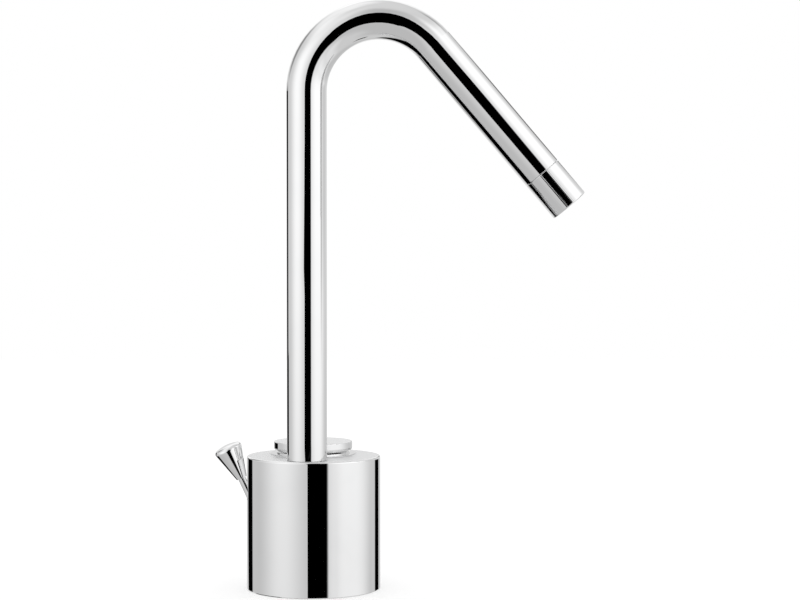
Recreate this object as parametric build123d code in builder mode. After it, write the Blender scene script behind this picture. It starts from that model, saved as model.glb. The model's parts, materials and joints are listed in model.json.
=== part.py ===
from build123d import *
import os
from math import asin, cos, degrees, radians, sin

os.makedirs("parts", exist_ok=True)

# Basin mixer tap, in millimetres, standing on the basin's deck at z = 0.
# The body's axis is the Z axis, and at rest the spout reaches towards +X.
# The spout's stem stands near the body's -Y side, and the control towards +Y.

# Fits and cuts used throughout
play = 0.05
cut_past = 1.0

# Body
body_d = 68.0
body_h = 67.6
rim_r = 1.0
edge_break = 0.4

# Foot of the body: a recess for the hoses, and a groove for the gasket
recess_d = 57.0
recess_h = 9.0
gasket_mid_d = 62.6
gasket_w = 2.2
gasket_t = 1.8
groove_play = 0.1

# Two M10 x 1 hose inlets and the M8 hole for the fixing stud, at tapping size
inlet_x, inlet_y = 7.0, 9.0
inlet_d = 9.0
inlet_depth = 11.0
stud_x, stud_y = 8.0, -8.0
stud_hole_d = 6.8
stud_hole_depth = 16.0
mouth_chamfer = 0.5

# Waterways inside the body
way_d = 5.6
inlet_way_rise = 3.0
inlet_way_bend_r = 3.0
outlet_way_drop = 5.5
outlet_way_bend_r = 4.0

# Spout: a tube that rises, turns down through the bend and runs to the outlet
stem_x, stem_y = -2.3, -23.0
tube_d = 20.0
tube_wall = 1.0
bend_start_z = 250.5
bend_r = 35.7
bend_turn = 139.7
run_l = 104.2
sleeve_l = 21.0
seam_gap = 0.15
seam_edge_r = 0.25

# Glide ring under the tube's end, sunk in a seat of the body's top and slightly proud of it
glide_t = 0.6
glide_proud = 0.15
glide_inset = 0.5
glide_bore_play = 0.15

# Spigot of the spout, turning in the body's socket
socket_d = 15.1
socket_floor_z = 12.6
spigot_d = 15.0
spigot_end_gap = 0.3
spigot_head_l = 12.0
spigot_head_chamfer = 1.5
spigot_bore_d = 10.0
spigot_bore_floor_z = 20.0
spigot_port_z = 25.0
spigot_port_d = 4.4
relief_d = 13.0
relief_h = 7.0
tail_d = 6.0
tail_end_z = 5.6
o_ring_z = (17.8, 31.5, 60.0)
o_ring_section = 1.5
o_ring_groove_d = 11.9
o_ring_groove_h = 2.0

# Stop of the swivel: a pin in the socket's floor and an arc slot in the spigot's end
swivel_half_range = 60.0
stop_circle_r = 5.2
stop_pin_d = 2.0
stop_pin_set = 2.8
stop_pin_proud = 2.4
stop_slot_w = 2.3
stop_slot_h = 2.4

# Clip and washer that keep the spigot down
clip_d = 9.6
clip_groove_d = 4.8
clip_t = 0.8
clip_play = 0.1
clip_mouth_w = 3.4
thrust_washer_d = 10.4
thrust_washer_t = 0.65

# Outlet of the spout: heights along its axis count from the outlet, outwards
nipple_bore_d = 13.8
nipple_in_tube = 10.0
nipple_end = -11.7
neck_d = 17.2
aerator_seal_d = 17.1
aerator_seal_bore_d = 13.4
aerator_seal_end = -10.1
ledge = -9.0
outlet_edge_r = 0.6
shell_bore_d = 16.4
shell_d = 16.3
shell_wall = 0.95
shell_face = -0.5
shell_lip = 0.4
shell_lip_t = 0.7
screen_d = 14.3
screen_t = 0.4
screen_ledge_w = 0.8
screen_ledge_t = 0.6
screen_pitch = 1.7
screen_hole = 1.25
screen_rows = 7
former_low = -4.6
former_cell_pitch_r = 1.05
former_cell_r = 0.88
former_rows = 7
open_d = 12.4

# Control: a rotary cartridge under a disc, on an axis of its own
control_x, control_y = -0.7, 10.0
chamber_d = 35.4
chamber_floor_z = 33.0
nut_thread_d = 38.0
shoulder_z = 56.0
cartridge_d = 35.0

# Ports of the cartridge, on a circle round the mixed water's port in the middle
port_circle_r = 9.5
port_angles = (55.0, 125.0)

# Base of the cartridge, with its locating pins and its seals
base_lift = 0.2
base_h = 5.8
locating_pins = ((-10.0, -10.0), (10.0, -10.0))
locating_pin_d = 3.0
locating_pin_l = 2.6
locating_hole_depth = 3.0
seal_d = 8.2
seal_recess_h = 1.2

# Ceramic discs: the upper one turns, and its pocket joins the ports
ceramic_t = 3.5
fixed_disc_d = 30.6
moving_disc_d = 29.2
pocket_r = 12.4
pocket_centre_r = 3.0
pocket_depth = 2.0
pocket_rest_angle = -5.0
pocket_half_angle = 35.0
lug_count = 3
lug_d = 3.0
lug_l = 2.5

# Carrier of the moving disc, and the spindle that turns it
carrier_d = 30.4
carrier_t = 4.0
drive_square = 9.0
drive_depth = 2.6
drive_l = 2.5
flange_d = 18.0
flange_lift = 0.3
flange_t = 2.5
spindle_d = 11.0
spindle_top_z = 68.0
spindle_groove_d = 8.6
spindle_groove_z = 56.0
spindle_groove_h = 1.7
spindle_o_ring_section = 1.2
spline_z = 61.6
spline_teeth = 20
spline_outer_r = 5.2
spline_inner_r = 4.7
screw_hole_d = 3.3
screw_hole_depth = 10.0

# Housing and nut of the cartridge
housing_bore_d = 30.8
housing_ceiling = 0.15
housing_flange_bore_d = 18.4
housing_flange_gap = 0.2
housing_neck_top_z = 61.0
housing_neck_d = 16.0
spindle_play = 0.07
nut_bore_d = 24.0
nut_h = 6.5
nut_slot_count = 4
nut_slot_w = 4.0
nut_slot_depth = 2.5

# Trim ring on the body's top, with a skirt that plugs into the chamber
trim_ring_d = 44.4
trim_ring_t = 1.0
trim_flange_t = 0.3
trim_neck_d = 37.6
trim_ring_bore_d = 25.2
trim_ring_edge_r = 0.3
trim_web_t = 0.6
skirt_d = 37.2
skirt_inner_d = 33.8
skirt_low_z = 63.2
skirt_groove_d = 35.4
skirt_groove_low_z = 64.6
skirt_groove_high_z = 66.2
trim_o_ring_section = 1.2

# Control disc, and the splined adaptor that it is pushed on to
shadow_gap = 0.45
control_disc_d = 40.3
control_disc_t = 4.95
disc_rim_r = 0.5
disc_low_edge_r = 1.8
disc_roof_t = 2.6
hub_d = 21.0
hub_bore_d = 16.4
hub_low_z = 62.9
adaptor_d = 16.2
adaptor_top_z = 69.4
adaptor_groove_d = 14.2
adaptor_groove_z = 65.3
adaptor_groove_h = 1.4
adaptor_screw_hole_d = 4.2
spline_end_gap = 0.1
grip_ring_section = 1.1
screw_d = 3.2
screw_l = 10.8
screw_head_d = 7.0
screw_head_h = 1.8
screw_head_edge_r = 0.6
screw_hex_r = 1.25
screw_hex_depth = 1.2

# Pull rod of the waste plug: leaves the body's side and leans outwards
rod_exit_y = -6.9
rod_exit_z = 50.8
rod_lean = 25.0
rod_d = 3.8
rod_hole_d = 4.3
rod_hole_past = 6.0
rod_end = -54.0
rod_thread_d = 3.0
rod_thread_l = 6.0
rod_travel = 18.0
rod_bush_d = 6.0
rod_bush_top = -14.0
rod_bush_upper_l = 6.0
rod_bush_lower_l = 5.2
rod_bore_low = -50.0
wiper_section = 1.0
wiper_gap = 0.3
stop_clip_d = 5.2
stop_clip_groove_d = 2.8
stop_clip_t = 0.8
stop_clip_mouth_w = 1.9
stop_clip_gap = 0.2

# Knob of the pull rod: a cone that flares to a rounded shoulder and a domed end
knob_gap = 6.6
knob_cone_l = 17.0
knob_small_d = 5.4
knob_large_d = 15.1
knob_dome_h = 1.6
knob_edge_r = 2.1
knob_socket_l = 8.0

body_r = body_d / 2
tube_r = tube_d / 2
glide_d = tube_d - 2 * glide_inset
bore_r = tube_r - tube_wall
glide_z = body_h + glide_proud - glide_t
seat_z = body_h + glide_proud + play / 2
inlet_top_z = recess_h + inlet_depth
stem_axis = Plane(origin=(stem_x, stem_y, 0))
control_axis = Plane(origin=(control_x, control_y, 0))

# The spout's path lies in an upright plane through the stem's axis
bend_end_angle = radians(180 - bend_turn)
bend_end = Vector(
    stem_x + bend_r + bend_r * cos(bend_end_angle),
    stem_y,
    bend_start_z + bend_r * sin(bend_end_angle),
)
run_dir = Vector(sin(bend_end_angle), 0, -cos(bend_end_angle))
outlet_axis = Plane(origin=bend_end + run_dir * run_l, x_dir=(0, 1, 0), z_dir=run_dir)
tube_end = -(sleeve_l + seam_gap)

# Heights of the cartridge's layers, from the chamber's floor upwards
base_z = chamber_floor_z + base_lift
fixed_disc_z = base_z + base_h
moving_disc_z = fixed_disc_z + ceramic_t
carrier_z = moving_disc_z + ceramic_t
carrier_top = carrier_z + carrier_t
flange_z = carrier_top + flange_lift
flange_top = flange_z + flange_t
disc_low_z = body_h + trim_ring_t + shadow_gap
disc_top_z = disc_low_z + control_disc_t

# Heights along the rod's axis count from where it leaves the body, outwards
rod_exit_x = -((body_r**2 - rod_exit_y**2) ** 0.5)
rod_dir = Vector(-sin(radians(rod_lean)), 0, cos(radians(rod_lean)))
rod_axis = Plane(origin=(rod_exit_x, rod_exit_y, rod_exit_z), x_dir=(0, 1, 0), z_dir=rod_dir)
wiper_mid = rod_bush_top - rod_bush_upper_l - wiper_gap - wiper_section / 2
stop_clip_low = wiper_mid - wiper_section - rod_travel - stop_clip_t - stop_clip_gap


def half_section(axis):
    """The plane in which x is the distance from the axis and y is the height along it."""
    return Plane(origin=axis.origin, x_dir=axis.x_dir, z_dir=-axis.y_dir)


def turn(axis, outline, mode=Mode.ADD):
    """Revolve a closed outline of (radius, height) points about the axis."""
    with BuildSketch(half_section(axis)) as profile:
        with BuildLine():
            Polyline(outline, close=True)
        make_face()
    revolve(profile.sketch, axis=Axis(axis.origin, axis.z_dir), mode=mode)


def ring(axis, outer_d, inner_d, low, high, mode=Mode.ADD):
    """A plain ring about the axis, between two heights along it."""
    with BuildSketch(axis.offset(low)) as profile:
        Circle(outer_d / 2)
        if inner_d:
            Circle(inner_d / 2, mode=Mode.SUBTRACT)
    extrude(profile.sketch, amount=high - low, mode=mode)


def rod(axis, diameter, low, high, mode=Mode.ADD):
    """A plain round bar about the axis, or the hole for one."""
    ring(axis, diameter, 0, low, high, mode)


def torus(axis, mid_r, section_d, height):
    """A rubber ring of round section about the axis."""
    with BuildSketch(half_section(axis)) as profile:
        with Locations((mid_r, height)):
            Circle(section_d / 2)
    revolve(profile.sketch, axis=Axis(axis.origin, axis.z_dir))


def clip(axis, outer_d, inner_d, low, thickness, mouth_w):
    """An open spring clip about the axis, with its mouth on the plane's y side."""
    ring(axis, outer_d, inner_d, low, low + thickness)
    mouth_l = (outer_d - inner_d) / 2
    with BuildSketch(axis.offset(low)) as mouth:
        with Locations((0, inner_d / 2 + mouth_l / 2)):
            Rectangle(mouth_w, 2 * mouth_l)
    extrude(mouth.sketch, amount=thickness, mode=Mode.SUBTRACT)


def on_circle(radius, angle):
    """The point at this angle on a circle about the plane's origin."""
    return (radius * cos(radians(angle)), radius * sin(radians(angle)))


def port_centres():
    """The cartridge's ports, from its axis: the mixed water's, the cold's and the hot's."""
    return [(0, 0)] + [on_circle(port_circle_r, angle) for angle in port_angles]


def ports(diameter, low, high, mode=Mode.SUBTRACT):
    """Round holes or bosses at the cartridge's ports, between two heights."""
    with BuildSketch(control_axis.offset(low)) as profile:
        with Locations(port_centres()):
            Circle(diameter / 2)
    extrude(profile.sketch, amount=high - low, mode=mode)


def spline_points(grow):
    """The outline of the spline: its teeth's tips and the notches between them, in turn."""
    points = []
    for i in range(2 * spline_teeth):
        radius = spline_inner_r if i % 2 else spline_outer_r
        points.append(on_circle(radius + grow, i * 180 / spline_teeth))
    return points


def splined_bar(grow, low, high, mode=Mode.ADD):
    """The spline's outline carried between two heights on the control's axis."""
    with BuildSketch(control_axis.offset(low)) as profile:
        with BuildLine():
            Polyline(spline_points(grow), close=True)
        make_face()
    extrude(profile.sketch, amount=high - low, mode=mode)


def save(part, name):
    """Label the finished piece and write its file."""
    part.label = name
    export_step(part, f"parts/{name}.step")


# Body: turned outside, with the chambers and waterways inside
with BuildPart() as tap_body:
    rod(Plane.XY, body_d, 0, body_h)
    rims = tap_body.edges().filter_by(GeomType.CIRCLE).sort_by(Axis.Z)
    fillet(rims[-1], rim_r)
    chamfer(rims[0], edge_break)
    rod(Plane.XY, recess_d, 0, recess_h, Mode.SUBTRACT)
    groove_w = gasket_w + groove_play
    ring(Plane.XY, gasket_mid_d + groove_w, gasket_mid_d - groove_w, 0, gasket_t, Mode.SUBTRACT)

    # Chamber of the cartridge, wider at the top for the nut's thread
    rod(control_axis, chamber_d, chamber_floor_z, body_h, Mode.SUBTRACT)
    rod(control_axis, nut_thread_d, shoulder_z, body_h, Mode.SUBTRACT)
    with BuildSketch(control_axis.offset(chamber_floor_z)):
        with Locations(*locating_pins):
            Circle(locating_pin_d / 2 + play)
    extrude(amount=-locating_hole_depth, mode=Mode.SUBTRACT)

    # Socket of the spout, with the seat of the glide ring and the holes for the tail and the stop pin
    rod(stem_axis, socket_d, socket_floor_z, body_h, Mode.SUBTRACT)
    rod(stem_axis, glide_d + 2 * play, glide_z, body_h, Mode.SUBTRACT)
    rod(stem_axis, tail_d + 2 * play, recess_h, socket_floor_z, Mode.SUBTRACT)
    with BuildSketch(stem_axis.offset(socket_floor_z)):
        with Locations((0, stop_circle_r)):
            Circle(stop_pin_d / 2)
    extrude(amount=-stop_pin_set, mode=Mode.SUBTRACT)

    # Waterway from the chamber's middle port to the ring-shaped space round the spigot
    way_start_z = chamber_floor_z + cut_past
    with BuildLine() as outlet_way:
        FilletPolyline(
            (control_x, control_y, way_start_z),
            (control_x, control_y, chamber_floor_z - outlet_way_drop),
            (stem_x, stem_y + spigot_d / 2 - cut_past, spigot_port_z),
            radius=outlet_way_bend_r,
        )
    with BuildSketch(control_axis.offset(way_start_z)):
        Circle(way_d / 2)
    sweep(path=outlet_way.wires()[0], mode=Mode.SUBTRACT)

    # Hose inlets, each with its waterway to a port of the chamber
    for side, angle in zip((1, -1), port_angles):
        inlet_axis = Plane(origin=(side * inlet_x, inlet_y, 0))
        rod(inlet_axis, inlet_d, recess_h, inlet_top_z, Mode.SUBTRACT)
        port_x, port_y = on_circle(port_circle_r, angle)
        with BuildLine() as inlet_way:
            FilletPolyline(
                (side * inlet_x, inlet_y, inlet_top_z - cut_past),
                (side * inlet_x, inlet_y, inlet_top_z + inlet_way_rise),
                (control_x + port_x, control_y + port_y, chamber_floor_z - inlet_way_rise),
                (control_x + port_x, control_y + port_y, chamber_floor_z + cut_past),
                radius=inlet_way_bend_r,
            )
        with BuildSketch(inlet_axis.offset(inlet_top_z - cut_past)):
            Circle(way_d / 2)
        sweep(path=inlet_way.wires()[0], mode=Mode.SUBTRACT)
    rod(Plane((stud_x, stud_y, 0)), stud_hole_d, recess_h, recess_h + stud_hole_depth, Mode.SUBTRACT)
    recess_edges = tap_body.edges().filter_by(GeomType.CIRCLE).filter_by_position(
        Axis.Z, recess_h - play, recess_h + play
    )
    mouths = [e for e in recess_edges if e.radius in (inlet_d / 2, stud_hole_d / 2)]
    chamfer(mouths, mouth_chamfer)

    # Bore of the pull rod: a close hole in the wall, then room for the bushes
    rod(rod_axis, rod_hole_d, rod_bush_top - cut_past, rod_hole_past, Mode.SUBTRACT)
    rod(rod_axis, rod_bush_d, rod_bore_low, rod_bush_top, Mode.SUBTRACT)
save(tap_body.part, "tap_body")

with BuildPart() as base_gasket:
    ring(Plane.XY, gasket_mid_d + gasket_w, gasket_mid_d - gasket_w, 0, gasket_t)
save(base_gasket.part, "base_gasket")

# Spout tube: one ring-shaped section carried up, round the bend and down to the seam
with BuildPart() as spout_tube:
    with BuildLine(half_section(stem_axis)) as tube_path:
        rise = Line((0, seat_z), (0, bend_start_z))
        bend = JernArc(rise @ 1, rise % 1, bend_r, -bend_turn)
        Line(bend @ 1, (bend @ 1) + (bend % 1) * (run_l + tube_end))
    with BuildSketch(stem_axis.offset(seat_z)):
        Circle(tube_r)
        Circle(bore_r, mode=Mode.SUBTRACT)
    sweep(path=tube_path.wires()[0])
    end_edges = spout_tube.edges().filter_by(GeomType.CIRCLE)
    outer_edges = end_edges.filter_by(lambda e: abs(e.radius - tube_r) < play)
    fillet(outer_edges.sort_by(Axis.X)[-1], seam_edge_r)
save(spout_tube.part, "spout_tube")

with BuildPart() as spout_glide_ring:
    ring(stem_axis, glide_d, socket_d + 2 * glide_bore_play, glide_z, glide_z + glide_t)
save(spout_glide_ring.part, "spout_glide_ring")

# Spigot: its head fills the tube's end, and water enters through the ports in its side
spigot_low_z = socket_floor_z + spigot_end_gap
spigot_top_z = seat_z + spigot_head_l
thrust_washer_z = recess_h - play - thrust_washer_t
clip_z = thrust_washer_z - clip_t

with BuildPart() as spout_spigot:
    rod(stem_axis, spigot_d, spigot_low_z, seat_z)
    rod(stem_axis, 2 * bore_r, seat_z, spigot_top_z)
    chamfer(spout_spigot.edges().sort_by(Axis.Z)[-1], spigot_head_chamfer)
    rod(stem_axis, tail_d, tail_end_z, spigot_low_z)
    chamfer(spout_spigot.edges().sort_by(Axis.Z)[0], edge_break)
    rod(stem_axis, spigot_bore_d, spigot_bore_floor_z, spigot_top_z, Mode.SUBTRACT)
    relief_z = spigot_port_z - relief_h / 2
    ring(stem_axis, spigot_d, relief_d, relief_z, relief_z + relief_h, Mode.SUBTRACT)
    for height in o_ring_z:
        groove_z = height - o_ring_groove_h / 2
        ring(stem_axis, spigot_d, o_ring_groove_d, groove_z, groove_z + o_ring_groove_h, Mode.SUBTRACT)
    for side_dir in ((1, 0, 0), (0, 1, 0)):
        with BuildSketch(Plane(origin=(stem_x, stem_y, spigot_port_z), z_dir=side_dir)):
            Circle(spigot_port_d / 2)
        extrude(amount=spigot_d, both=True, mode=Mode.SUBTRACT)

    # Arc slot that the stop pin stands in, as long as the swivel
    with BuildSketch(stem_axis.offset(spigot_low_z)):
        with BuildLine(mode=Mode.PRIVATE) as stop_arc:
            CenterArc((0, 0), stop_circle_r, 90 - swivel_half_range, 2 * swivel_half_range)
        SlotArc(stop_arc.wires()[0], stop_slot_w)
    extrude(amount=stop_slot_h, mode=Mode.SUBTRACT)

    # Groove for the clip, under the recess's ceiling
    ring(stem_axis, tail_d, clip_groove_d, clip_z - clip_play, clip_z + clip_t, Mode.SUBTRACT)
save(spout_spigot.part, "spout_spigot")

with BuildPart() as spigot_o_rings:
    for height in o_ring_z:
        torus(stem_axis, (o_ring_groove_d + spigot_d) / 4, o_ring_section, height)
save(spigot_o_rings.part, "spigot_o_rings")

with BuildPart() as spout_stop_pin:
    stop_pin_axis = Plane((stem_x, stem_y + stop_circle_r, socket_floor_z))
    rod(stop_pin_axis, stop_pin_d, -stop_pin_set, stop_pin_proud)
save(spout_stop_pin.part, "spout_stop_pin")

with BuildPart() as spout_thrust_washer:
    washer_top_z = thrust_washer_z + thrust_washer_t
    ring(stem_axis, thrust_washer_d, tail_d + 2 * play, thrust_washer_z, washer_top_z)
save(spout_thrust_washer.part, "spout_thrust_washer")

with BuildPart() as spout_circlip:
    clip(stem_axis, clip_d, clip_groove_d, clip_z, clip_t, clip_mouth_w)
save(spout_circlip.part, "spout_circlip")

with BuildPart() as outlet_nipple:
    turn(
        outlet_axis,
        [
            (nipple_bore_d / 2, tube_end - nipple_in_tube),
            (bore_r, tube_end - nipple_in_tube),
            (bore_r, tube_end + seam_gap),
            (neck_d / 2, tube_end + seam_gap),
            (neck_d / 2, nipple_end),
            (nipple_bore_d / 2, nipple_end),
        ],
    )
save(outlet_nipple.part, "outlet_nipple")

with BuildPart() as aerator_sleeve:
    ring(outlet_axis, tube_d, neck_d + 2 * play, -sleeve_l, ledge)
    ring(outlet_axis, tube_d, shell_bore_d, ledge, 0)
    rims = aerator_sleeve.edges().filter_by(GeomType.CIRCLE)
    outer_rims = rims.filter_by(lambda e: abs(e.radius - tube_r) < play).sort_by(Axis.X)
    fillet(outer_rims[0], seam_edge_r)
    fillet(outer_rims[-1], outlet_edge_r)
save(aerator_sleeve.part, "aerator_sleeve")

with BuildPart() as aerator_seal:
    ring(outlet_axis, aerator_seal_d, aerator_seal_bore_d, nipple_end, aerator_seal_end)
save(aerator_seal.part, "aerator_seal")

# Plastic shell of the aerator, with a ledge for the screen and a lip that holds the honeycomb
screen_z = ledge
shell_r = shell_d / 2
shell_inner_r = shell_r - shell_wall
former_high = shell_face - shell_lip_t

with BuildPart() as aerator_housing:
    turn(
        outlet_axis,
        [
            (shell_inner_r, aerator_seal_end),
            (aerator_seal_d / 2, aerator_seal_end),
            (aerator_seal_d / 2, ledge),
            (shell_r, ledge),
            (shell_r, shell_face - edge_break),
            (shell_r - edge_break, shell_face),
            (shell_inner_r - shell_lip, shell_face),
            (shell_inner_r - shell_lip, former_high),
            (shell_inner_r, former_high),
            (shell_inner_r, screen_z + screen_t + screen_ledge_t),
            (shell_inner_r - screen_ledge_w, screen_z + screen_t + screen_ledge_t),
            (shell_inner_r - screen_ledge_w, screen_z + screen_t),
            (shell_inner_r, screen_z + screen_t),
        ],
    )
save(aerator_housing.part, "aerator_housing")

with BuildPart() as aerator_screen:
    rod(outlet_axis, screen_d, screen_z, screen_z + screen_t)
    with BuildSketch(outlet_axis.offset(screen_z)):
        with GridLocations(screen_pitch, screen_pitch, screen_rows, screen_rows):
            Rectangle(screen_hole, screen_hole)
        Circle(open_d / 2, mode=Mode.INTERSECT)
    extrude(amount=screen_t, mode=Mode.SUBTRACT)
save(aerator_screen.part, "aerator_screen")

# Honeycomb that straightens the stream
with BuildPart() as stream_former:
    rod(outlet_axis, screen_d, former_low, former_high)
    with BuildSketch(outlet_axis.offset(former_low)):
        with HexLocations(former_cell_pitch_r, former_rows, former_rows):
            RegularPolygon(former_cell_r, 6, major_radius=False, rotation=30)
        Circle(open_d / 2, mode=Mode.INTERSECT)
    extrude(amount=former_high - former_low, mode=Mode.SUBTRACT)
save(stream_former.part, "stream_former")

# Cartridge, from the chamber's floor upwards
with BuildPart() as cartridge_base:
    rod(control_axis, cartridge_d, base_z, fixed_disc_z)
    with BuildSketch(control_axis.offset(base_z)):
        with Locations(*locating_pins):
            Circle(locating_pin_d / 2)
    extrude(amount=-locating_pin_l)
    ports(seal_d + 2 * groove_play, base_z, base_z + seal_recess_h)
    ports(way_d, base_z, fixed_disc_z)
save(cartridge_base.part, "cartridge_base")

with BuildPart() as port_seals:
    ports(seal_d, chamber_floor_z, base_z + seal_recess_h, Mode.ADD)
    ports(way_d, chamber_floor_z, base_z + seal_recess_h)
save(port_seals.part, "port_seals")

with BuildPart() as fixed_ceramic_disc:
    rod(control_axis, fixed_disc_d, fixed_disc_z, moving_disc_z)
    ports(way_d, fixed_disc_z, moving_disc_z)
save(fixed_ceramic_disc.part, "fixed_ceramic_disc")

with BuildPart() as moving_ceramic_disc:
    rod(control_axis, moving_disc_d, moving_disc_z, carrier_z)
    pocket_start = pocket_rest_angle - pocket_half_angle
    with BuildSketch(control_axis.offset(moving_disc_z)):
        with BuildLine():
            first_side = Line((0, 0), on_circle(pocket_r, pocket_start))
            CenterArc((0, 0), pocket_r, pocket_start, 2 * pocket_half_angle)
            Line(on_circle(pocket_r, pocket_start + 2 * pocket_half_angle), first_side @ 0)
        make_face()
        Circle(pocket_centre_r)
    extrude(amount=pocket_depth, mode=Mode.SUBTRACT)
    with BuildSketch(control_axis.offset(moving_disc_z)):
        with PolarLocations(moving_disc_d / 2, lug_count, start_angle=90):
            Circle(lug_d / 2 + play)
    extrude(amount=ceramic_t, mode=Mode.SUBTRACT)
save(moving_ceramic_disc.part, "moving_ceramic_disc")

with BuildPart() as disc_carrier:
    rod(control_axis, carrier_d, carrier_z, carrier_top)
    with BuildSketch(control_axis.offset(carrier_z)):
        with PolarLocations(moving_disc_d / 2, lug_count, start_angle=90):
            Circle(lug_d / 2)
        Circle(carrier_d / 2, mode=Mode.INTERSECT)
    extrude(amount=-lug_l)
    with BuildSketch(control_axis.offset(carrier_top)):
        Rectangle(drive_square + 2 * play, drive_square + 2 * play)
    extrude(amount=-drive_depth, mode=Mode.SUBTRACT)
save(disc_carrier.part, "disc_carrier")

with BuildPart() as cartridge_spindle:
    with BuildSketch(control_axis.offset(carrier_top - drive_l)):
        Rectangle(drive_square, drive_square)
    extrude(amount=drive_l + flange_lift)
    rod(control_axis, flange_d, flange_z, flange_top)
    rod(control_axis, spindle_d, flange_top, spline_z)
    groove_top_z = spindle_groove_z + spindle_groove_h
    ring(control_axis, spindle_d, spindle_groove_d, spindle_groove_z, groove_top_z, Mode.SUBTRACT)
    splined_bar(0, spline_z, spindle_top_z)
    rod(control_axis, screw_hole_d, spindle_top_z - screw_hole_depth, spindle_top_z, Mode.SUBTRACT)
save(cartridge_spindle.part, "cartridge_spindle")

with BuildPart() as spindle_o_ring:
    spindle_ring_r = (spindle_d - spindle_o_ring_section) / 2
    torus(control_axis, spindle_ring_r, spindle_o_ring_section, spindle_groove_z + spindle_groove_h / 2)
save(spindle_o_ring.part, "spindle_o_ring")

with BuildPart() as cartridge_housing:
    ceiling_z = carrier_top + housing_ceiling
    flange_room_z = flange_top + housing_flange_gap
    turn(
        control_axis,
        [
            (housing_bore_d / 2, fixed_disc_z),
            (cartridge_d / 2, fixed_disc_z),
            (cartridge_d / 2, shoulder_z),
            (housing_neck_d / 2, shoulder_z),
            (housing_neck_d / 2, housing_neck_top_z),
            (spindle_d / 2 + spindle_play, housing_neck_top_z),
            (spindle_d / 2 + spindle_play, flange_room_z),
            (housing_flange_bore_d / 2, flange_room_z),
            (housing_flange_bore_d / 2, ceiling_z),
            (housing_bore_d / 2, ceiling_z),
        ],
    )
save(cartridge_housing.part, "cartridge_housing")

with BuildPart() as cartridge_nut:
    nut_d = nut_thread_d - 2 * spindle_play
    nut_top_z = shoulder_z + nut_h
    ring(control_axis, nut_d, nut_bore_d, shoulder_z, nut_top_z)
    chamfer(cartridge_nut.edges().group_by(Axis.Z)[-1], edge_break)
    with BuildSketch(control_axis.offset(nut_top_z)):
        with PolarLocations((nut_d + nut_bore_d) / 4, nut_slot_count):
            Rectangle((nut_d - nut_bore_d) / 2 + 2 * cut_past, nut_slot_w)
    extrude(amount=-nut_slot_depth, mode=Mode.SUBTRACT)
save(cartridge_nut.part, "cartridge_nut")

with BuildPart() as trim_ring:
    web_z = body_h - trim_web_t
    turn(
        control_axis,
        [
            (trim_ring_bore_d / 2, web_z),
            (skirt_inner_d / 2, web_z),
            (skirt_inner_d / 2, skirt_low_z),
            (skirt_d / 2, skirt_low_z),
            (skirt_d / 2, skirt_groove_low_z),
            (skirt_groove_d / 2, skirt_groove_low_z),
            (skirt_groove_d / 2, skirt_groove_high_z),
            (skirt_d / 2, skirt_groove_high_z),
            (skirt_d / 2, body_h),
            (trim_ring_d / 2, body_h),
            (trim_ring_d / 2, body_h + trim_flange_t),
            (trim_neck_d / 2, body_h + trim_flange_t),
            (trim_neck_d / 2, body_h + trim_ring_t),
            (trim_ring_bore_d / 2, body_h + trim_ring_t),
        ],
    )
    top_edges = trim_ring.edges().filter_by(GeomType.CIRCLE).group_by(Axis.Z)[-1]
    fillet(top_edges, trim_ring_edge_r)
save(trim_ring.part, "trim_ring")

with BuildPart() as trim_o_ring:
    trim_o_ring_r = (skirt_groove_d + trim_o_ring_section) / 2
    trim_o_ring_z = (skirt_groove_low_z + skirt_groove_high_z) / 2
    torus(control_axis, trim_o_ring_r, trim_o_ring_section, trim_o_ring_z)
save(trim_o_ring.part, "trim_o_ring")

with BuildPart() as control_disc:
    rod(control_axis, control_disc_d, disc_low_z, disc_top_z)
    rims = control_disc.edges().filter_by(GeomType.CIRCLE).sort_by(Axis.Z)
    fillet(rims[-1], disc_rim_r)
    fillet(rims[0], disc_low_edge_r)
    rod(control_axis, hub_d, hub_low_z, disc_low_z)
    rod(control_axis, hub_bore_d, hub_low_z, disc_top_z - disc_roof_t, Mode.SUBTRACT)
save(control_disc.part, "control_disc")

with BuildPart() as disc_adaptor:
    rod(control_axis, adaptor_d, hub_low_z, adaptor_top_z)
    groove_top_z = adaptor_groove_z + adaptor_groove_h
    ring(control_axis, adaptor_d, adaptor_groove_d, adaptor_groove_z, groove_top_z, Mode.SUBTRACT)
    splined_bar(play, hub_low_z, spindle_top_z + spline_end_gap, Mode.SUBTRACT)
    rod(control_axis, adaptor_screw_hole_d, hub_low_z, adaptor_top_z, Mode.SUBTRACT)
save(disc_adaptor.part, "disc_adaptor")

with BuildPart() as adaptor_screw:
    screw_top_z = adaptor_top_z + screw_head_h
    rod(control_axis, screw_head_d, adaptor_top_z, screw_top_z)
    fillet(adaptor_screw.edges().sort_by(Axis.Z)[-1], screw_head_edge_r)
    rod(control_axis, screw_d, adaptor_top_z - screw_l, adaptor_top_z)
    with BuildSketch(control_axis.offset(screw_top_z)):
        RegularPolygon(screw_hex_r, 6, major_radius=False)
    extrude(amount=-screw_hex_depth, mode=Mode.SUBTRACT)
save(adaptor_screw.part, "adaptor_screw")

with BuildPart() as grip_o_ring:
    grip_ring_r = (adaptor_groove_d + grip_ring_section) / 2
    torus(control_axis, grip_ring_r, grip_ring_section, adaptor_groove_z + adaptor_groove_h / 2)
save(grip_o_ring.part, "grip_o_ring")

# Pull rod, turned down at its end for the thread, with a groove for its clip
with BuildPart() as pull_rod:
    rod(rod_axis, rod_d, rod_end, knob_gap + knob_socket_l)
    ring(rod_axis, rod_d, rod_thread_d, rod_end, rod_end + rod_thread_l, Mode.SUBTRACT)
    stop_clip_high = stop_clip_low + stop_clip_t
    ring(rod_axis, rod_d, stop_clip_groove_d, stop_clip_low, stop_clip_high, Mode.SUBTRACT)
save(pull_rod.part, "pull_rod")

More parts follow.
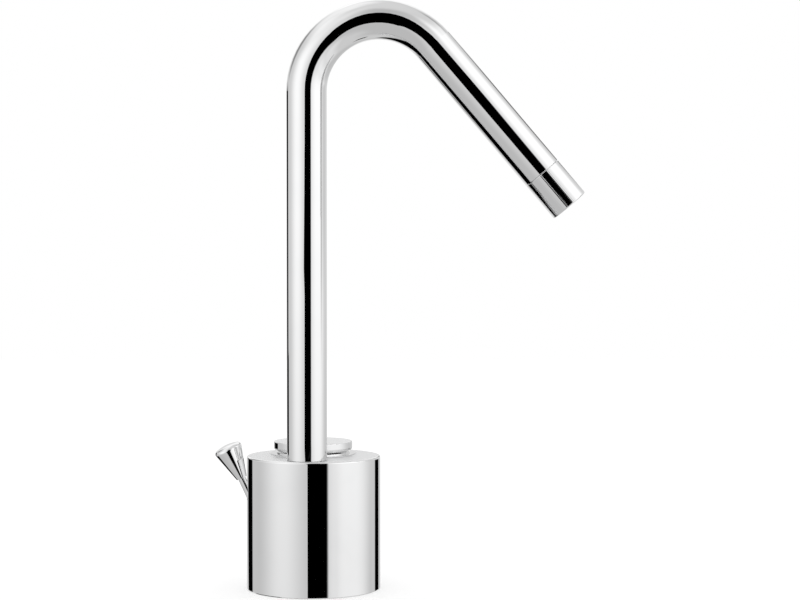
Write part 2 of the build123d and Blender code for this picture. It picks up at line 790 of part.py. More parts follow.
with BuildPart() as pull_knob:
    knob_r = knob_large_d / 2
    knob_edge = knob_gap + knob_cone_l
    dome_top = knob_edge + knob_dome_h
    dome_r = (knob_r**2 + knob_dome_h**2) / (2 * knob_dome_h)
    dome_angle = degrees(asin(knob_r / dome_r))
    with BuildSketch(half_section(rod_axis)):
        with BuildLine():
            Polyline((0, dome_top), (0, knob_gap), (knob_small_d / 2, knob_gap), (knob_r, knob_edge))
            CenterArc((0, dome_top - dome_r), dome_r, 90 - dome_angle, dome_angle)
        make_face()
    revolve(axis=Axis(rod_axis.origin, rod_axis.z_dir))
    rims = pull_knob.edges().filter_by(GeomType.CIRCLE)
    fillet(rims.filter_by(lambda e: abs(e.radius - knob_r) < play), knob_edge_r)
    rod(rod_axis, rod_d, knob_gap, knob_gap + knob_socket_l, Mode.SUBTRACT)
save(pull_knob.part, "pull_knob")

with BuildPart() as rod_guide_bushes:
    lower_bush_top = stop_clip_low - stop_clip_gap
    bush_bore_d = rod_d + 2 * play
    ring(rod_axis, rod_bush_d, bush_bore_d, rod_bush_top - rod_bush_upper_l, rod_bush_top)
    ring(rod_axis, rod_bush_d, bush_bore_d, lower_bush_top - rod_bush_lower_l, lower_bush_top)
save(rod_guide_bushes.part, "rod_guide_bushes")

with BuildPart() as rod_wiper:
    torus(rod_axis, (rod_d + 2 * play + wiper_section) / 2, wiper_section, wiper_mid)
save(rod_wiper.part, "rod_wiper")

with BuildPart() as rod_stop_clip:
    clip(rod_axis, stop_clip_d, stop_clip_groove_d, stop_clip_low, stop_clip_t, stop_clip_mouth_w)
save(rod_stop_clip.part, "rod_stop_clip")
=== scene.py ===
"""Basin mixer tap: the finishes, the studio and the camera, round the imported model."""

import json
from math import atan, cos, radians, sin

import bpy
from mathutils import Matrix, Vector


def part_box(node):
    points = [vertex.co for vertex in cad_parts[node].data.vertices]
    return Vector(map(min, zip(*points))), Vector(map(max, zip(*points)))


# Node trees

class Graph:
    """Wires up one node tree. Its methods add a node each and give back the output."""

    def __init__(self, tree):
        self.tree = tree

    def add(self, kind, **settings):
        node = self.tree.nodes.new("ShaderNode" + kind)
        for name, value in settings.items():
            setattr(node, name, value)
        return node

    def feed(self, socket, value):
        """Links a socket to another, or sets its number, vector or colour."""
        if isinstance(value, bpy.types.NodeSocket):
            self.tree.links.new(value, socket)
        else:
            socket.default_value = value

    def maths(self, operation, *values):
        node = self.add("Math", operation=operation)
        for socket, value in zip(node.inputs, values):
            self.feed(socket, value)
        return node.outputs["Value"]

    def ramp(self, value, start, end, low=0.0, high=1.0):
        """Goes smoothly from low to high as the value goes from start to end."""
        node = self.add("MapRange", interpolation_type="SMOOTHSTEP")
        for name, given in (("Value", value), ("From Min", start), ("From Max", end),
                            ("To Min", low), ("To Max", high)):
            self.feed(node.inputs[name], given)
        return node.outputs["Result"]

    def mix(self, kind, share, first, second):
        node = self.add("Mix", data_type=kind)
        for name, given in (("Factor", share), ("A", first), ("B", second)):
            self.feed(next(s for s in node.inputs if s.name == name and s.enabled), given)
        return next(s for s in node.outputs if s.enabled)

    def between(self, share, first, second):
        """Mixes two numbers, with the first one at a share of 0."""
        return self.mix("FLOAT", share, first, second)

    def colours(self, share, first, second):
        """Mixes two colours, with the first one at a share of 0."""
        return self.mix("RGBA", share, first, second)

    def noise(self, place, scale, detail=2.0, roughness=0.5, dimensions="3D"):
        node = self.add("TexNoise", noise_dimensions=dimensions)
        self.feed(node.inputs["W" if dimensions == "1D" else "Vector"], place)
        for name, given in (("Scale", scale), ("Detail", detail), ("Roughness", roughness)):
            self.feed(node.inputs[name], given)
        return node.outputs["Fac"]

    def split(self, vector):
        node = self.add("SeparateXYZ")
        self.feed(node.inputs[0], vector)
        return node.outputs

    def join(self, x, y, z):
        node = self.add("CombineXYZ")
        for socket, value in zip(node.inputs, (x, y, z)):
            self.feed(socket, value)
        return node.outputs[0]

    def group(self, tree, **values):
        """Places a shared group. Its inputs are named with underlines for spaces."""
        node = self.add("Group", node_tree=tree)
        for name, value in values.items():
            self.feed(node.inputs[name.replace("_", " ")], value)
        return node.outputs


def node_of(tree, kind):
    """The first node of a kind in a tree."""
    return next(node for node in tree.nodes if node.type == kind)


def without(settings, name):
    """A copy of some named settings, less one of them."""
    return {key: value for key, value in settings.items() if key != name}


def shared_group(name, inputs, outputs):
    """Starts a shader node group and gives back its graph, its inputs and what its outputs are fed by."""
    tree = bpy.data.node_groups.new(name, "ShaderNodeTree")
    for label, default in inputs.items():
        kind = "NodeSocketVector" if isinstance(default, tuple) else "NodeSocketFloat"
        socket = tree.interface.new_socket(name=label, in_out="INPUT", socket_type=kind)
        socket.default_value = default
    for label in outputs:
        tree.interface.new_socket(name=label, in_out="OUTPUT", socket_type="NodeSocketFloat")
    graph = Graph(tree)
    taken = tree.nodes.new("NodeGroupInput").outputs
    given = tree.nodes.new("NodeGroupOutput").inputs
    return graph, taken, given


# Shared effects

def soft_shape_group():
    """A flat shape with soft edges: 1 inside it and 0 outside.

    Across and up are offsets from the shape's middle, turned by its roll. On a rectangle each side
    fades by itself. On an ellipse the fade follows the offset's length, measured in half widths and
    half heights.
    """
    graph, taken, given = shared_group(
        "soft shape",
        {"Across": 0.0, "Up": 0.0, "Half width": 1.0, "Half height": 1.0,
         "Soft across": 0.1, "Soft up": 0.1, "Roll": 0.0},
        ["Rectangle", "Ellipse"])
    turn = graph.maths("RADIANS", taken["Roll"])
    cosine = graph.maths("COSINE", turn)
    sine = graph.maths("SINE", turn)
    across = graph.maths("ADD", graph.maths("MULTIPLY", taken["Across"], cosine),
                         graph.maths("MULTIPLY", taken["Up"], sine))
    up = graph.maths("SUBTRACT", graph.maths("MULTIPLY", taken["Up"], cosine),
                     graph.maths("MULTIPLY", taken["Across"], sine))
    sides = []
    for offset, half, soft in ((across, taken["Half width"], taken["Soft across"]),
                               (up, taken["Half height"], taken["Soft up"])):
        inner = graph.maths("SUBTRACT", half, soft)
        outer = graph.maths("ADD", half, soft)
        sides.append(graph.ramp(graph.maths("ABSOLUTE", offset), inner, outer, 1.0, 0.0))
    graph.feed(given["Rectangle"], graph.maths("MULTIPLY", *sides))
    squares = [graph.maths("POWER", graph.maths("DIVIDE", offset, half), 2.0)
               for offset, half in ((across, taken["Half width"]), (up, taken["Half height"]))]
    reach = graph.maths("SQRT", graph.maths("ADD", *squares))
    fade = graph.maths("DIVIDE", taken["Soft across"],
                       graph.maths("MINIMUM", taken["Half width"], taken["Half height"]))
    inner = graph.maths("SUBTRACT", 1.0, fade)
    outer = graph.maths("ADD", 1.0, fade)
    graph.feed(given["Ellipse"], graph.ramp(reach, inner, outer, 1.0, 0.0))
    return graph.tree


def soft_shape(graph, across, up, middle, half, soft, form="Rectangle", roll=0.0):
    """Places a soft shape by its middle, its half sizes and the softness of its edges."""
    return graph.group(groups["shape"], Across=graph.maths("SUBTRACT", across, middle[0]),
                       Up=graph.maths("SUBTRACT", up, middle[1]), Half_width=half[0], Half_height=half[1],
                       Soft_across=soft[0], Soft_up=soft[1], Roll=roll)[form]


def handling_group():
    """Faint clouds where a polished surface was wiped, and the slight waviness of its plating.

    Haze is a slow noise kept only above its middle. Wave is a fine noise for a bump's height.
    """
    graph, taken, given = shared_group(
        "handling", {"Place": (0.0, 0.0, 0.0), "Cloud size": 0.02, "Wave size": 0.002}, ["Haze", "Wave"])
    clouds = graph.noise(taken["Place"], graph.maths("DIVIDE", 1.0, taken["Cloud size"]), 4.0, 0.55)
    graph.feed(given["Haze"], graph.ramp(clouds, 0.45, 0.75))
    waves = graph.noise(taken["Place"], graph.maths("DIVIDE", 1.0, taken["Wave size"]), 1.0, 0.4)
    graph.feed(given["Wave"], waves)
    return graph.tree


def lathe_group():
    """Rings left by turning about the Z axis of the place: noise of the way along the profile.

    The way along the profile is the height plus the radius, in pitches, so that walls and faces
    both have rings. Band is the same noise, but far slower.
    """
    band_share = 0.07
    graph, taken, given = shared_group(
        "lathe marks", {"Place": (0.0, 0.0, 0.0), "Pitch": 0.0002}, ["Ring", "Band"])
    x, y, z = graph.split(taken["Place"])
    radius = graph.maths("SQRT", graph.maths("ADD", graph.maths("MULTIPLY", x, x),
                                             graph.maths("MULTIPLY", y, y)))
    along = graph.maths("DIVIDE", graph.maths("ADD", z, radius), taken["Pitch"])
    graph.feed(given["Ring"], graph.noise(along, 1.0, 2.0, 0.6, "1D"))
    graph.feed(given["Band"], graph.noise(along, band_share, 1.0, 0.5, "1D"))
    return graph.tree


def drawn_group():
    """Lines along the Z axis of the place, as drawing or polishing leaves them on a round bar.

    The noise is read on a circle, at the angle about the axis, and drifts slowly along the axis.
    Broad has a quarter as many lines.
    """
    graph, taken, given = shared_group(
        "drawn lines", {"Place": (0.0, 0.0, 0.0), "Lines": 20.0, "Drift": 4.0}, ["Line", "Broad"])
    x, y, z = graph.split(taken["Place"])
    angle = graph.maths("ARCTAN2", y, x)
    drift = graph.maths("MULTIPLY", z, taken["Drift"])
    for output, factor in (("Line", 1.0), ("Broad", 0.25)):
        lines = graph.maths("MULTIPLY", taken["Lines"], factor)
        circle = graph.join(graph.maths("MULTIPLY", graph.maths("COSINE", angle), lines),
                            graph.maths("MULTIPLY", graph.maths("SINE", angle), lines), drift)
        graph.feed(given[output], graph.noise(circle, 1.0, 2.0, 0.6))
    return graph.tree


def grain_group():
    """The fine spark-eroded grain of a moulded surface, with slow mottling under it."""
    mottle_share = 0.12
    graph, taken, given = shared_group(
        "moulded grain", {"Place": (0.0, 0.0, 0.0), "Grain size": 0.0003}, ["Grain", "Mottle"])
    for output, factor, roughness in (("Grain", 1.0, 0.6), ("Mottle", mottle_share, 0.5)):
        scale = graph.maths("DIVIDE", factor, taken["Grain size"])
        graph.feed(given[output], graph.noise(taken["Place"], scale, 3.0, roughness))
    return graph.tree


# Materials

# Colours of the bare and plated metals, with painted shade for the satin tops and painted shadow for the gap
CHROME = (0.800, 0.801, 0.803, 1.0)
CHROME_HAZED = (0.780, 0.782, 0.785, 1.0)
# Satin tops: colours painted darker than the polished chrome, as painted shade
BODY_SATIN_SHADE = (0.715, 0.717, 0.720, 1.0)
CONTROL_SATIN_SHADE = (0.742, 0.744, 0.747, 1.0)
# The gap's band: painted black, as painted shadow
GAP_PAINTED_SHADOW = (0.01, 0.01, 0.01, 1.0)
BRASS = (0.72, 0.55, 0.25, 1.0)
BRASS_DULL = (0.60, 0.43, 0.20, 1.0)
STEEL = (0.62, 0.62, 0.63, 1.0)
STEEL_DULL = (0.52, 0.52, 0.54, 1.0)

# Chrome's clouds, waves and rings in metres, and what each effect adds to its roughness
CHROME_CLOUDS = 0.028
CHROME_WAVES = 0.006
CHROME_WAVE_DEPTH = 0.000004
CHROME_RING_PITCH = 0.00025
CHROME_LINE_DRIFT = 6.0
HAZE_ROUGHNESS = 0.012
MARK_ROUGHNESS = 0.008
SATIN_ROUGHNESS = 0.42

# How far in height the satin and the painted shadow band fade, in metres
SATIN_FADE = 0.00004
BAND_FADE_BELOW = 0.00003
BAND_FADE_ABOVE = 0.00008


def start_material(name):
    """A material with its Principled shader's inputs, and the graph that feeds them."""
    material = bpy.data.materials.new(name)
    material.use_nodes = True
    return material, Graph(material.node_tree), node_of(material.node_tree, "BSDF_PRINCIPLED").inputs


def start_stage_material(name):
    """A material for the stage, its graph, and the socket that takes another surface than the Principled."""
    material = bpy.data.materials.new(name)
    material.use_nodes = True
    output = node_of(material.node_tree, "OUTPUT_MATERIAL")
    return material, Graph(material.node_tree), output.inputs["Surface"]


def place_on(graph, origin=(0.0, 0.0, 0.0), turn=(0.0, 0.0, 0.0)):
    """The object's own coordinates, moved and turned so that a piece's axis becomes Z."""
    mapping = graph.add("Mapping", vector_type="TEXTURE")
    mapping.inputs["Location"].default_value = origin
    mapping.inputs["Rotation"].default_value = turn
    graph.feed(mapping.inputs["Vector"], graph.add("TexCoord").outputs["Object"])
    return mapping.outputs[0]


def bump(graph, height, distance, lean_back=0.0):
    """A bumped normal. It can lean away from the viewer first, turned about the X axis."""
    node = graph.add("Bump")
    if lean_back:
        leaning = graph.add("VectorRotate", rotation_type="X_AXIS")
        graph.feed(leaning.inputs["Vector"], graph.add("NewGeometry").outputs["Normal"])
        leaning.inputs["Angle"].default_value = -lean_back
        graph.feed(node.inputs["Normal"], leaning.outputs["Vector"])
    node.inputs["Strength"].default_value = 1.0
    node.inputs["Distance"].default_value = distance
    graph.feed(node.inputs["Height"], height)
    return node.outputs["Normal"]


def chrome(name, origin=(0.0, 0.0, 0.0), turn=(0.0, 0.0, 0.0), roughness=0.012, lines=0.0, line_depth=0.0,
           ring_depth=0.0, satin_above=None, satin_shade_colour=BODY_SATIN_SHADE, painted_shadow_band=None, lean_back=0.0):
    """Polished chrome plating, with clouds of haze, plating waviness, and drawn lines or rings.

    Heights are measured from the origin, along the piece's axis. Above satin_above the plating is satin instead
    of polished, with its colour painted darker as shade.
    Between the two heights of the band the colour is painted black, as painted shadow in a gap.
    """
    material, graph, shader = start_material(name)
    place = place_on(graph, origin, turn)
    handling = graph.group(groups["handling"], Place=place, Cloud_size=CHROME_CLOUDS, Wave_size=CHROME_WAVES)
    bumps = graph.maths("MULTIPLY", handling["Wave"], CHROME_WAVE_DEPTH)
    rough = graph.maths("MULTIPLY_ADD", handling["Haze"], HAZE_ROUGHNESS, roughness)
    if lines:
        drawn = graph.group(groups["drawn"], Place=place, Lines=lines, Drift=CHROME_LINE_DRIFT)
        bumps = graph.maths("MULTIPLY_ADD", drawn["Line"], line_depth, bumps)
        rough = graph.maths("MULTIPLY_ADD", drawn["Broad"], MARK_ROUGHNESS, rough)
    if ring_depth:
        lathe = graph.group(groups["lathe"], Place=place, Pitch=CHROME_RING_PITCH)
        bumps = graph.maths("MULTIPLY_ADD", lathe["Ring"], ring_depth, bumps)
        rough = graph.maths("MULTIPLY_ADD", lathe["Band"], MARK_ROUGHNESS, rough)
    colour = graph.colours(handling["Haze"], CHROME, CHROME_HAZED)
    level = graph.split(place)[2]
    if satin_above is not None:
        satin = graph.ramp(level, satin_above - SATIN_FADE, satin_above)
        rough = graph.maths("MULTIPLY_ADD", satin, SATIN_ROUGHNESS, rough)
        # The satin's colour is painted darker: painted shade on the tops
        colour = graph.colours(satin, colour, satin_shade_colour)
    # Painted shadow: the gap's band is painted black
    if painted_shadow_band is not None:
        low, high = painted_shadow_band
        band = graph.maths("MULTIPLY", graph.ramp(level, low - BAND_FADE_BELOW, low),
                           graph.ramp(level, high, high + BAND_FADE_ABOVE, 1.0, 0.0))
        colour = graph.colours(band, colour, GAP_PAINTED_SHADOW)
    shader["Metallic"].default_value = 1.0
    graph.feed(shader["Base Color"], colour)
    graph.feed(shader["Roughness"], rough)
    graph.feed(shader["Normal"], bump(graph, bumps, 1.0, lean_back))
    return material


def turned_metal(name, bright, dull, origin):
    """Bare turned metal: rings in the roughness and the bump, and a slow drift to a duller colour."""
    pitch, ring_depth = 0.00022, 0.000012
    roughness, ring_roughness, haze_roughness = 0.2, 0.14, 0.08
    material, graph, shader = start_material(name)
    place = place_on(graph, origin)
    lathe = graph.group(groups["lathe"], Place=place, Pitch=pitch)
    handling = graph.group(groups["handling"], Place=place, Cloud_size=0.008, Wave_size=0.001)
    rough = graph.maths("MULTIPLY_ADD", lathe["Ring"], ring_roughness, roughness)
    rough = graph.maths("MULTIPLY_ADD", handling["Haze"], haze_roughness, rough)
    shader["Metallic"].default_value = 1.0
    graph.feed(shader["Base Color"], graph.colours(handling["Haze"], bright, dull))
    graph.feed(shader["Roughness"], rough)
    graph.feed(shader["Normal"], bump(graph, lathe["Ring"], ring_depth))
    return material


def moulded(name, light, dark, grain_size, roughness, depth):
    """A moulded plastic or rubber, or a fired ceramic: grain in the bump and mottling in the colour.

    The grain takes its roughness half above and half below the one that is given.
    """
    grain_roughness = 0.16
    material, graph, shader = start_material(name)
    grain = graph.group(groups["grain"], Place=place_on(graph), Grain_size=grain_size)
    rough = graph.maths("MULTIPLY_ADD", grain["Grain"], grain_roughness, roughness - grain_roughness / 2)
    graph.feed(shader["Base Color"], graph.colours(graph.ramp(grain["Mottle"], 0.35, 0.65), light, dark))
    graph.feed(shader["Roughness"], rough)
    graph.feed(shader["Normal"], bump(graph, grain["Grain"], depth))
    return material


# The studio

# Directions are azimuth and elevation in degrees. Azimuth is 0 towards the camera and 90 to the right.
# What add says is light on top of the rest, and keep is the share of the light that a flag lets past.
# Middle, half and soft are a shape's middle, its half sizes and how far its edges fade either way.
ROOM = {
    "whole room": dict(add=0.60),
    "above the skirting": dict(add=0.04, start=-35, end=-12),
    "wall": dict(add=0.12, start=-9, end=1),
    "ceiling": dict(add=0.05, start=45, end=80),
}
SOFTBOXES = {
    "left box": dict(add=0.45, middle=(-53, 23), half=(29.5, 38), soft=(27, 22)),
    "right box": dict(add=0.45, middle=(69, 15), half=(38.5, 34), soft=(30, 12)),
    "right box low": dict(add=0.22, middle=(72, -24), half=(34, 14), soft=(14, 8)),
    "right box above": dict(add=0.09, middle=(66, 26), half=(34, 22), soft=(9, 7)),
    "right box far above": dict(add=0.12, middle=(102, 36), half=(18, 15), soft=(14, 6)),
    "box behind": dict(add=0.12, middle=(180, -7), half=(14, 11), soft=(10, 2)),
    "box behind above": dict(add=0.36, middle=(180, 31), half=(28, 20), soft=(10, 4)),
    "box behind low": dict(add=0.22, middle=(-168, -20), half=(24, 9), soft=(6, 4)),
    "box overhead": dict(add=0.30, middle=(-118, 62), half=(56, 19), soft=(24, 11)),
    "glow low right": dict(add=0.13, middle=(78, -50), half=(46, 22), soft=(22, 14)),
    "glow low behind": dict(add=0.12, middle=(170, -58), half=(44, 18), soft=(24, 12)),
}
FLAGS = {
    "shade in front": dict(keep=0.76, middle=(10, 42), half=(24, 14), soft=(12, 9)),
    "shade at the right": dict(keep=0.82, middle=(112, 8.5), half=(17, 9), soft=(4, 2)),
    "shade low right": dict(keep=0.88, middle=(80, -16), half=(42, 9), soft=(6, 4)),
    "shade far left": dict(keep=0.40, middle=(-132, 25), half=(13, 13), soft=(7, 7), form="Ellipse"),
    "shade above left": dict(keep=0.87, middle=(-62, 50), half=(34, 20), soft=(14, 9)),
    "shade far right": dict(keep=0.60, middle=(126, 50), half=(11, 8), soft=(5, 5), form="Ellipse"),
    "boom behind": dict(keep=0.22, middle=(159, 17.5), half=(17, 2.6), soft=(1.5, 1.2), roll=-39),
    "black table edge": dict(keep=0.0, middle=(-135, -43.3), half=(44.5, 15.5), soft=(2, 2), form="Ellipse"),
    "black strip left": dict(keep=0.0, middle=(-139, -8.6), half=(11.2, 15.2), soft=(1.5, 2.2)),
    "strip's near edge": dict(keep=0.0, middle=(-126.5, -4.65), half=(3.2, 1.5), soft=(1.2, 0.15)),
    "strip's far edge": dict(keep=0.0, middle=(-150.5, -0.5), half=(3.5, 5.2), soft=(1.5, 0.6)),
}

# Each screen faces an azimuth, and its distance from the Z axis and its half side are in metres, as is
# all that its shapes have but their roll in degrees. A shape without a keep lets no light past.
SCREENS = {
    "front far": dict(facing=0, distance=1.1, half=1.2, shapes={
        "low block": dict(middle=(0.050, -0.132), half=(0.200, 0.084), soft=(0.003, 0.003)),
        "low fade": dict(middle=(0.2975, -0.132), half=(0.2475, 0.084), soft=(0.055, 0.003)),
        "tall block": dict(middle=(0.000, 0.200), half=(0.1702, 0.270), soft=(0.003, 0.003), roll=-9),
        "tall fade": dict(middle=(0.2975, 0.315), half=(0.2475, 0.370), soft=(0.055, 0.01)),
        "round top": dict(middle=(0.075, 0.620), half=(0.225, 0.340), soft=(0.006, 0.006), form="Ellipse"),
    }),
    "front near": dict(facing=0, distance=0.5, half=0.3, shapes={
        "slanted bar": dict(middle=(-0.0367, 0.1694), half=(0.070, 0.050), soft=(0.0015, 0.0015), roll=-28),
    }),
    "right side": dict(facing=90, distance=0.3, half=0.4, shapes={
        "upright bar": dict(keep=0.45, middle=(-0.008, 0.21), half=(0.018, 0.08), soft=(0.007, 0.05)),
    }),
    "back": dict(facing=180, distance=0.1, half=0.16, shapes={
        "low block": dict(middle=(-0.1183, 0.0092), half=(0.0303, 0.0443), soft=(0.002, 0.0006)),
    }),
}

# The pale dome that lights matt surfaces
DOME = dict(start=-60.0, end=60.0, low=0.80, high=1.0)


def studio_world():
    """Light from a white studio.

    The camera sees plain white, and matt surfaces are lit by a pale dome. Metal reflects the
    studio: a pale room, with softboxes added and dark flags taken away.
    """
    world = bpy.data.worlds.new("studio")
    bpy.context.scene.world = world
    world.use_nodes = True
    world.cycles.sampling_method = "NONE"
    graph = Graph(world.node_tree)
    x, y, z = graph.split(graph.add("TexCoord").outputs["Generated"])
    azimuth = graph.maths("DEGREES", graph.maths("ARCTAN2", x, graph.maths("MULTIPLY", y, -1.0)))
    elevation = graph.maths("DEGREES", graph.maths("ARCSINE", z))

    light = 0.0
    for step in ROOM.values():
        rise = graph.ramp(elevation, step["start"], step["end"]) if "start" in step else 1.0
        light = graph.maths("MULTIPLY_ADD", rise, step["add"], light)

    def card(middle, **shape):
        aside = graph.maths("WRAP", graph.maths("SUBTRACT", azimuth, middle[0]), 180.0, -180.0)
        return soft_shape(graph, aside, elevation, (0.0, middle[1]), **shape)

    for box in SOFTBOXES.values():
        light = graph.maths("MULTIPLY_ADD", card(**without(box, "add")), box["add"], light)
    for flag in FLAGS.values():
        kept = graph.maths("MULTIPLY_ADD", card(**without(flag, "keep")), flag["keep"] - 1.0, 1.0)
        light = graph.maths("MULTIPLY", light, kept)

    path = graph.add("LightPath").outputs
    mirrored = graph.maths("MAXIMUM", path["Is Glossy Ray"], path["Is Transmission Ray"])
    dome = graph.ramp(elevation, **DOME)
    seen = graph.between(path["Is Camera Ray"], graph.between(mirrored, dome, light), 1.0)
    background = node_of(world.node_tree, "BACKGROUND")
    background.inputs["Color"].default_value = (1.0, 1.0, 1.0, 1.0)
    graph.feed(background.inputs["Strength"], seen)


def flat_sheet(name, corners):
    """A flat sheet with four corners, linked to the scene."""
    mesh = bpy.data.meshes.new(name)
    mesh.from_pydata(corners, [], [(0, 1, 2, 3)])
    sheet = bpy.data.objects.new(name, mesh)
    bpy.context.scene.collection.objects.link(sheet)
    return sheet


def studio_screen(name, facing, distance, half, shapes):
    """A clear upright sheet beside the tap, with dark shapes on it that only reflections see.

    The sheet stands across the way to an azimuth, at a distance from the Z axis. A shape's middle is
    how far it is to the right, looking out from the tap, and its height.
    """
    out_x, out_y = sin(radians(facing)), -cos(radians(facing))
    right_x, right_y = cos(radians(facing)), sin(radians(facing))
    screen = flat_sheet(name, [
        (out_x * distance + right_x * across, out_y * distance + right_y * across, height)
        for across, height in ((-half, -half), (half, -half), (half, half), (-half, half))])
    screen.visible_camera = False
    screen.visible_diffuse = False
    screen.visible_shadow = False
    material, graph, surface = start_stage_material(name)
    x, y, z = graph.split(graph.add("TexCoord").outputs["Object"])
    across = graph.maths("ADD", graph.maths("MULTIPLY", x, right_x), graph.maths("MULTIPLY", y, right_y))
    clear = 1.0
    for shape in shapes.values():
        dark = soft_shape(graph, across, z, **without(shape, "keep"))
        kept = graph.maths("MULTIPLY_ADD", dark, shape.get("keep", 0.0) - 1.0, 1.0)
        clear = graph.maths("MULTIPLY", clear, kept)
    sheet = graph.add("BsdfTransparent")
    graph.feed(sheet.inputs["Color"], clear)
    graph.feed(surface, sheet.outputs[0])
    screen.data.materials.append(material)


def studio_floor(half=2.0, drop=0.00005):
    """A white floor that keeps the tap's soft shadow. Seen from below it isn't there."""
    floor = flat_sheet("floor", [
        (-half, -half, -drop), (half, -half, -drop), (half, half, -drop), (-half, half, -drop)])
    floor.visible_glossy = False
    floor.visible_diffuse = False
    floor.visible_transmission = False
    material, graph, surface = start_stage_material("white floor")
    matt = graph.add("BsdfDiffuse")
    matt.inputs["Color"].default_value = (0.8, 0.8, 0.8, 1.0)
    glow = graph.add("Emission")
    glow.inputs["Color"].default_value = (0.30, 0.30, 0.30, 1.0)
    white = graph.add("AddShader")
    graph.feed(white.inputs[0], matt.outputs[0])
    graph.feed(white.inputs[1], glow.outputs[0])
    shown = graph.add("MixShader")
    graph.feed(shown.inputs[0], graph.add("NewGeometry").outputs["Backfacing"])
    graph.feed(shown.inputs[1], white.outputs[0])
    graph.feed(shown.inputs[2], graph.add("BsdfTransparent").outputs[0])
    graph.feed(surface, shown.outputs[0])
    floor.data.materials.append(material)


def photo_camera():
    """The photograph's viewpoint: about a metre away, over half the tap's height, looking slightly down."""
    looking_down = radians(1.57)
    data = bpy.data.cameras.new("camera")
    data.sensor_width = 36.0
    data.lens = 88.4
    data.clip_start = 0.05
    camera = bpy.data.objects.new("camera", data)
    camera.location = (0.044, -0.998, 0.174)
    camera.rotation_euler = (radians(90.0) - looking_down, 0.0, 0.0)
    bpy.context.scene.collection.objects.link(camera)
    bpy.context.scene.camera = camera


# The scene

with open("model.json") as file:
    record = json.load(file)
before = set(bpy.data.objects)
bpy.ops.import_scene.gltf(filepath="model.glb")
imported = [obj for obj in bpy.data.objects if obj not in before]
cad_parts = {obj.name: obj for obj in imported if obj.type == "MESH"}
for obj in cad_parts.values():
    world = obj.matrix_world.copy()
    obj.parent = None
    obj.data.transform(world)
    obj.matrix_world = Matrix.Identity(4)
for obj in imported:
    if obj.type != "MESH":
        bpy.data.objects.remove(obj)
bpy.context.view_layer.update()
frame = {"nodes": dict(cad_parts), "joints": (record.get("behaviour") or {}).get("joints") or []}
groups = {
    "shape": soft_shape_group(),
    "handling": handling_group(),
    "lathe": lathe_group(),
    "drawn": drawn_group(),
    "grain": grain_group(),
}

# Axes of the turned pieces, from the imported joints
joints = {joint["name"]: joint for joint in frame["joints"]}
stem = tuple(joints["spout_swivel"]["pos_m"])
control = tuple(joints["control_turn"]["pos_m"])
pull_axis = joints["rod_pull"]["axis"]
pull_turn = (0.0, atan(pull_axis[0] / pull_axis[2]), 0.0)
outlet_low, outlet_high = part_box("aerator_sleeve")
outlet = tuple((outlet_low + outlet_high) / 2)
run_turn = (0.0, radians(139.7), 0.0)

# Heights for the satin, with its painted shade, and for the gap's painted shadow: the body's above the deck,
# and the rest above the control's joint. The painted shadow reaches a little up the control disc's edge.
GAP_REACH = 0.0001
SATIN_START = 0.00002
body_top = stem[2] - SATIN_START
control_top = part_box("control_disc")[1][2] - control[2] - SATIN_START
gap_painted_shadow = (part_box("trim_ring")[1][2] - control[2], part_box("control_disc")[0][2] - control[2] + GAP_REACH)

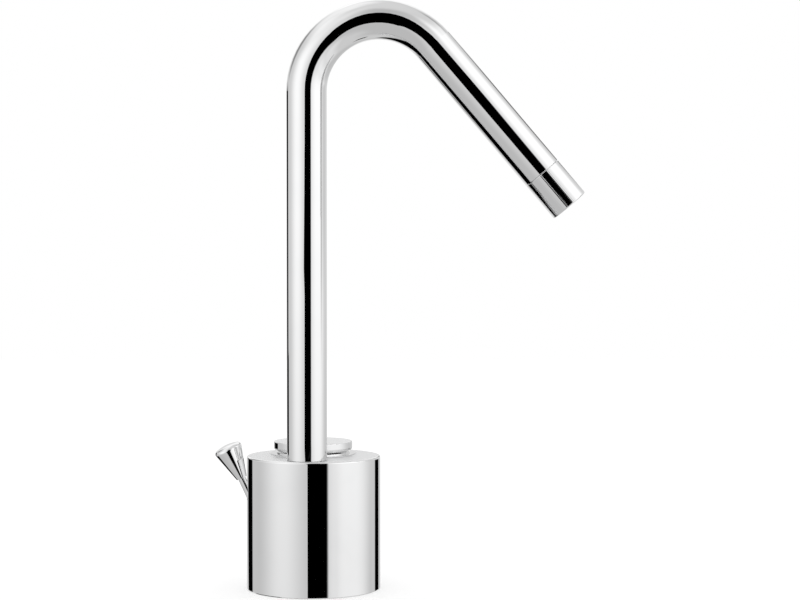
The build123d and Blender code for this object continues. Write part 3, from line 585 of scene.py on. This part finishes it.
finishes = {
    # The body's satin top has its colour painted darker as shade
    "plated body": chrome("plated body", satin_above=body_top),
    "plated tube": chrome("plated tube", stem, lines=14.0, line_depth=0.000002),
    "plated sleeve": chrome("plated sleeve", outlet, run_turn, roughness=0.03, lines=12.0, line_depth=0.0001),
    "plated nipple": chrome("plated nipple", outlet, run_turn, roughness=0.08),
    # The control's satin top is painted darker as shade, and the gap under its disc painted black as shadow
    "plated control": chrome("plated control", control, ring_depth=0.0000004, satin_above=control_top,
                             satin_shade_colour=CONTROL_SATIN_SHADE, painted_shadow_band=gap_painted_shadow),
    "plated rod": chrome("plated rod", turn=pull_turn),
    "plated knob": chrome("plated knob", turn=pull_turn, lean_back=radians(12.0)),
    "turned brass": turned_metal("turned brass", BRASS, BRASS_DULL, stem),
    "turned brass control": turned_metal("turned brass control", BRASS, BRASS_DULL, control),
    "spring steel": turned_metal("spring steel", STEEL, STEEL_DULL, stem),
    "rubber": moulded("rubber", (0.035, 0.035, 0.037, 1.0), (0.05, 0.05, 0.052, 1.0), 0.00018, 0.62, 0.00002),
    "white acetal": moulded("white acetal", (0.84, 0.84, 0.81, 1.0), (0.80, 0.80, 0.77, 1.0),
                            0.0003, 0.40, 0.000008),
    "grey nylon": moulded("grey nylon", (0.36, 0.38, 0.40, 1.0), (0.33, 0.35, 0.37, 1.0),
                          0.0003, 0.45, 0.00001),
    "lapped alumina": moulded("lapped alumina", (0.91, 0.89, 0.85, 1.0), (0.88, 0.86, 0.82, 1.0),
                              0.00012, 0.22, 0.000002),
}
FINISH_OF = {
    "plated body": ["tap_body"],
    "plated tube": ["spout_tube"],
    "plated sleeve": ["aerator_sleeve"],
    "plated control": ["control_disc", "trim_ring"],
    "plated rod": ["pull_rod"],
    "plated knob": ["pull_knob"],
    "turned brass": ["spout_spigot"],
    "turned brass control": ["cartridge_nut", "cartridge_spindle"],
    "plated nipple": ["outlet_nipple"],
    "spring steel": ["spout_stop_pin", "spout_circlip", "adaptor_screw", "rod_stop_clip", "aerator_screen"],
    "rubber": ["base_gasket", "port_seals", "trim_o_ring", "spigot_o_rings", "spindle_o_ring", "grip_o_ring",
               "rod_wiper", "aerator_seal"],
    "white acetal": ["spout_glide_ring", "spout_thrust_washer", "stream_former", "rod_guide_bushes",
                     "disc_carrier", "disc_adaptor"],
    "grey nylon": ["cartridge_base", "cartridge_housing", "aerator_housing"],
    "lapped alumina": ["fixed_ceramic_disc", "moving_ceramic_disc"],
}
for finish, nodes in FINISH_OF.items():
    for node in nodes:
        for slot in frame["nodes"][node].material_slots:
            slot.material = finishes[finish]

# The photograph's body mirrors neither the rod nor its knob
for node in ("pull_rod", "pull_knob"):
    frame["nodes"][node].visible_glossy = False

bpy.context.scene.view_settings.view_transform = "Standard"
studio_world()
studio_floor()
for name, screen in SCREENS.items():
    studio_screen("screen_" + name.replace(" ", "_"), **screen)
photo_camera()
